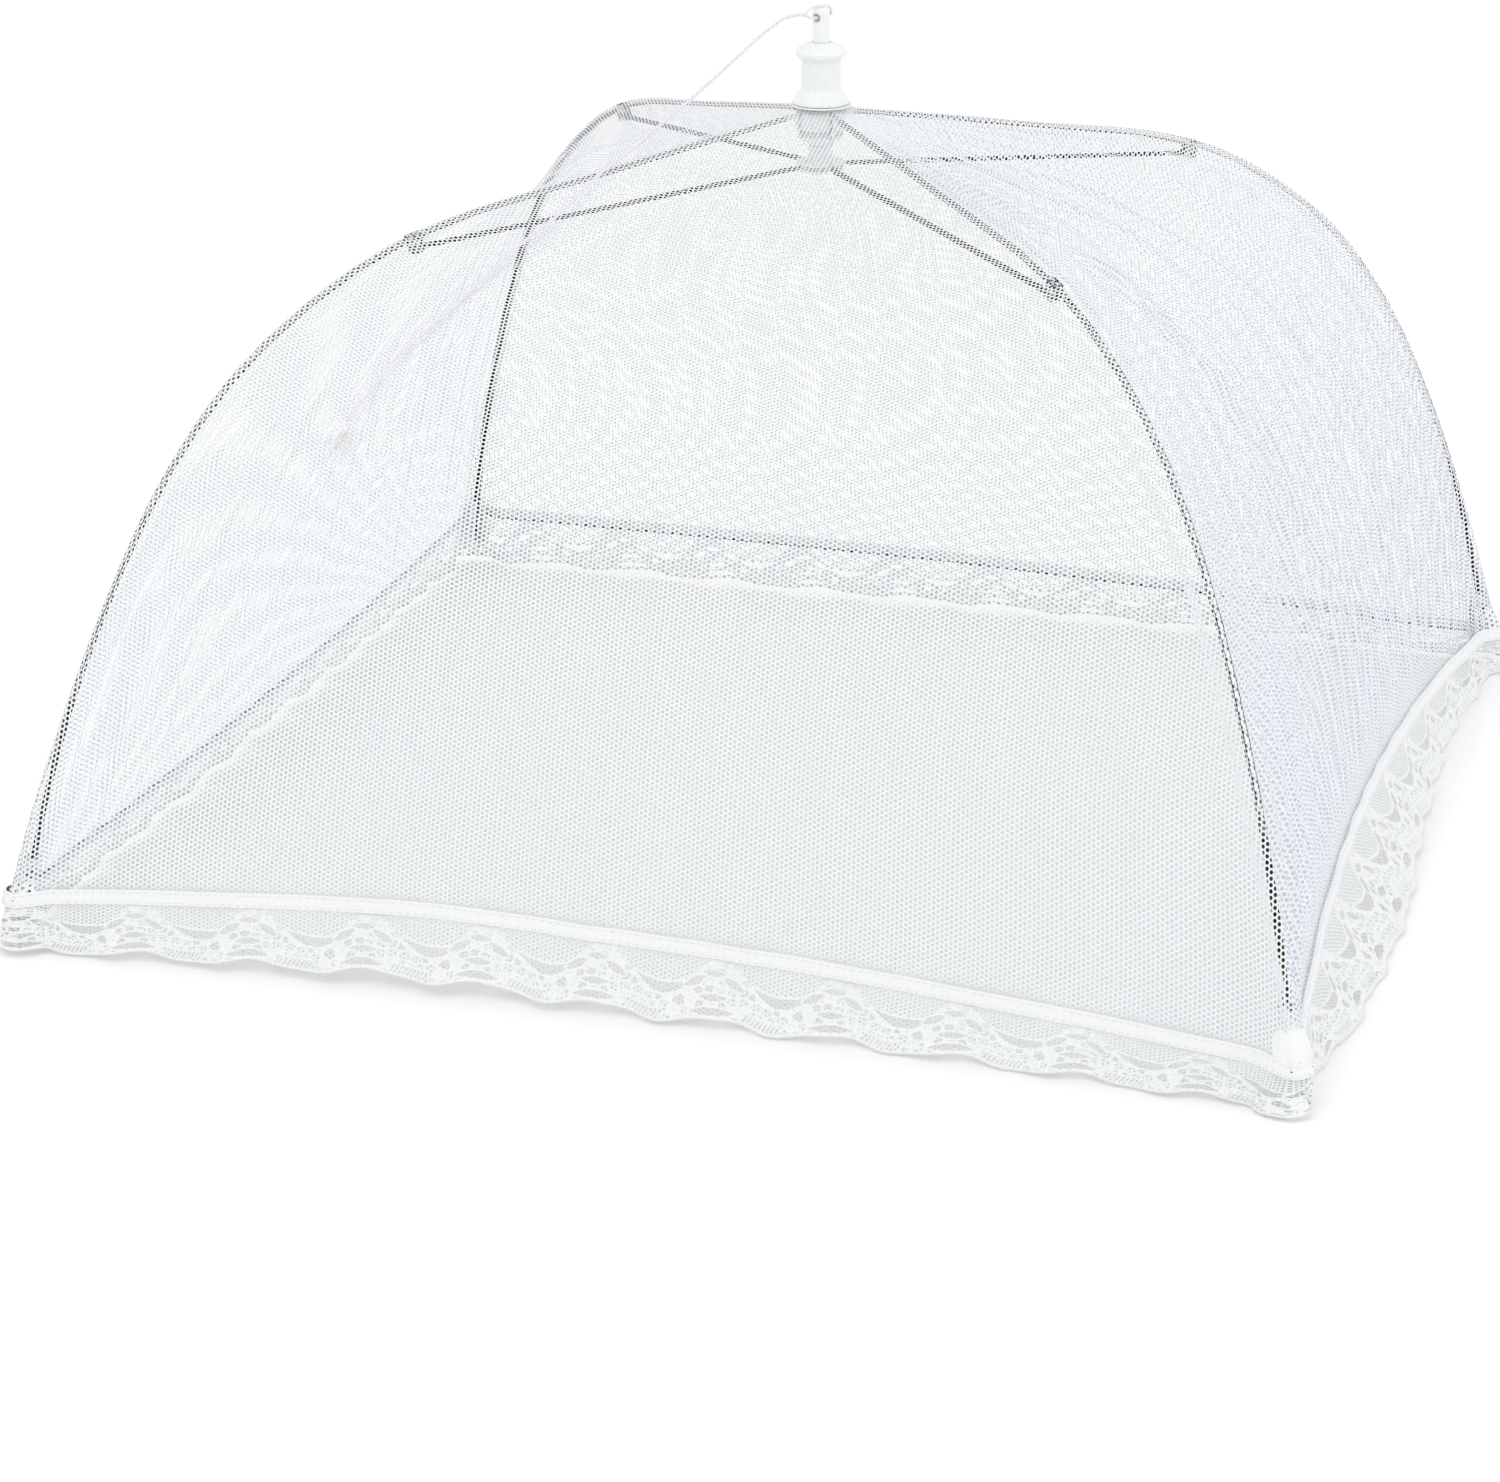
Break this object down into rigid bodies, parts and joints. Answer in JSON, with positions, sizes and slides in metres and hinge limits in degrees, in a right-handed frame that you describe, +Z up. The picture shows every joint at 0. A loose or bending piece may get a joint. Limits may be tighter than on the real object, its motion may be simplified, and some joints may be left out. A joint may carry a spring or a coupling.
{
  "type": "mesh food cover umbrella",
  "caption": "Square pop-up net food cover with a lace hem on bowed steel ribs, which fold down like an umbrella when the plunger in its crown lets the struts go.",
  "frame": {"origin": "on the table, under the middle of the crown", "axes": "+Z up along the crown's axis; the four hem sides face -Y (front), +X (right), +Y (back) and -X (left), and the ribs run to the corners between them"},
  "size_m": [0.444, 0.444, 0.2912],
  "materials": {
    "white_plastic": "smooth moulded white plastic",
    "translucent_plastic": "smooth milky translucent plastic",
    "rib_steel": "rolled steel strip and wire, satin",
    "brass": "dull brass",
    "white_tape": "close-woven white tape and string",
    "white_net": "fine white hexagonal net, see-through",
    "white_lace": "white lace on a fine net ground"
  },
  "bodies": {
    "root": {"finial_cap": "white_plastic", "crown_hub": "translucent_plastic", "crown_wire_ring": "rib_steel", "crown_patch": "white_tape", "net_panel_front": "white_net", "net_panel_right": "white_net", "net_panel_back": "white_net", "net_panel_left": "white_net", "hem_tape_front": "white_tape", "hem_tape_right": "white_tape", "hem_tape_back": "white_tape", "hem_tape_left": "white_tape", "lace_frill_front": "white_lace", "lace_frill_right": "white_lace", "lace_frill_back": "white_lace", "lace_frill_left": "white_lace", "corner_pocket_front_left": "white_tape", "corner_pocket_front_right": "white_tape", "corner_pocket_back_right": "white_tape", "corner_pocket_back_left": "white_tape", "pull_cord": "white_tape", "cord_end_knot": "white_tape"},
    "rib_front_left": {"rib_front_left": "rib_steel", "bracket_front_left": "rib_steel", "rivet_front_left": "brass", "tip_eyelet_front_left": "rib_steel"},
    "rib_front_right": {"rib_front_right": "rib_steel", "bracket_front_right": "rib_steel", "rivet_front_right": "brass", "tip_eyelet_front_right": "rib_steel"},
    "rib_back_right": {"rib_back_right": "rib_steel", "bracket_back_right": "rib_steel", "rivet_back_right": "brass", "tip_eyelet_back_right": "rib_steel"},
    "rib_back_left": {"rib_back_left": "rib_steel", "bracket_back_left": "rib_steel", "rivet_back_left": "brass", "tip_eyelet_back_left": "rib_steel"},
    "strut_front_left": {"strut_front_left": "rib_steel"},
    "strut_front_right": {"strut_front_right": "rib_steel"},
    "strut_back_right": {"strut_back_right": "rib_steel"},
    "strut_back_left": {"strut_back_left": "rib_steel"},
    "runner": {"runner_spool": "translucent_plastic", "runner_wire_ring": "rib_steel", "plunger_post": "white_plastic", "cord_loop": "white_tape"}
  },
  "joints": [
    {"name": "rib_fold_front_left", "type": "hinge", "parent": "root", "child": "rib_front_left", "pos_m": [-0.0053, -0.0053, 0.248], "axis": [0.7071, -0.7071, 0], "range_deg": [0, 48], "deforming": ["net_panel_front", "net_panel_right", "net_panel_back", "net_panel_left", "hem_tape_front", "hem_tape_right", "hem_tape_back", "hem_tape_left", "lace_frill_front", "lace_frill_right", "lace_frill_back", "lace_frill_left", "corner_pocket_front_left", "corner_pocket_front_right", "corner_pocket_back_right", "corner_pocket_back_left", "pull_cord", "cord_loop", "cord_end_knot"]},
    {"name": "rib_fold_front_right", "type": "hinge", "parent": "root", "child": "rib_front_right", "pos_m": [0.0053, -0.0053, 0.248], "axis": [0.7071, 0.7071, 0], "range_deg": [0, 48]},
    {"name": "rib_fold_back_right", "type": "hinge", "parent": "root", "child": "rib_back_right", "pos_m": [0.0053, 0.0053, 0.248], "axis": [-0.7071, 0.7071, 0], "range_deg": [0, 48]},
    {"name": "rib_fold_back_left", "type": "hinge", "parent": "root", "child": "rib_back_left", "pos_m": [-0.0053, 0.0053, 0.248], "axis": [-0.7071, -0.7071, 0], "range_deg": [0, 48]},
    {"name": "strut_fold_front_left", "type": "hinge", "parent": "rib_front_left", "child": "strut_front_left", "pos_m": [-0.10981, -0.10981, 0.224], "axis": [-0.7071, 0.7071, 0], "range_deg": [0, 111.4]},
    {"name": "strut_fold_front_right", "type": "hinge", "parent": "rib_front_right", "child": "strut_front_right", "pos_m": [0.10981, -0.10981, 0.224], "axis": [-0.7071, -0.7071, 0], "range_deg": [0, 111.4]},
    {"name": "strut_fold_back_right", "type": "hinge", "parent": "rib_back_right", "child": "strut_back_right", "pos_m": [0.10981, 0.10981, 0.224], "axis": [0.7071, -0.7071, 0], "range_deg": [0, 111.4]},
    {"name": "strut_fold_back_left", "type": "hinge", "parent": "rib_back_left", "child": "strut_back_left", "pos_m": [-0.10981, 0.10981, 0.224], "axis": [0.7071, 0.7071, 0], "range_deg": [0, 111.4]},
    {"name": "runner_slide", "type": "slide", "parent": "root", "child": "runner", "axis": [0, 0, -1], "range_m": [0, 0.2406]}
  ],
  "couplings": [
    {"joint": "rib_fold_front_right", "follows": "rib_fold_front_left", "ratio": 1},
    {"joint": "rib_fold_back_right", "follows": "rib_fold_front_left", "ratio": 1},
    {"joint": "rib_fold_back_left", "follows": "rib_fold_front_left", "ratio": 1},
    {"joint": "strut_fold_front_left", "follows": "rib_fold_front_left", "ratio": 2.32},
    {"joint": "strut_fold_front_right", "follows": "rib_fold_front_left", "ratio": 2.32},
    {"joint": "strut_fold_back_right", "follows": "rib_fold_front_left", "ratio": 2.32},
    {"joint": "strut_fold_back_left", "follows": "rib_fold_front_left", "ratio": 2.32},
    {"joint": "runner_slide", "follows": "rib_fold_front_left", "m_per_rad": 0.28707}
  ]
}
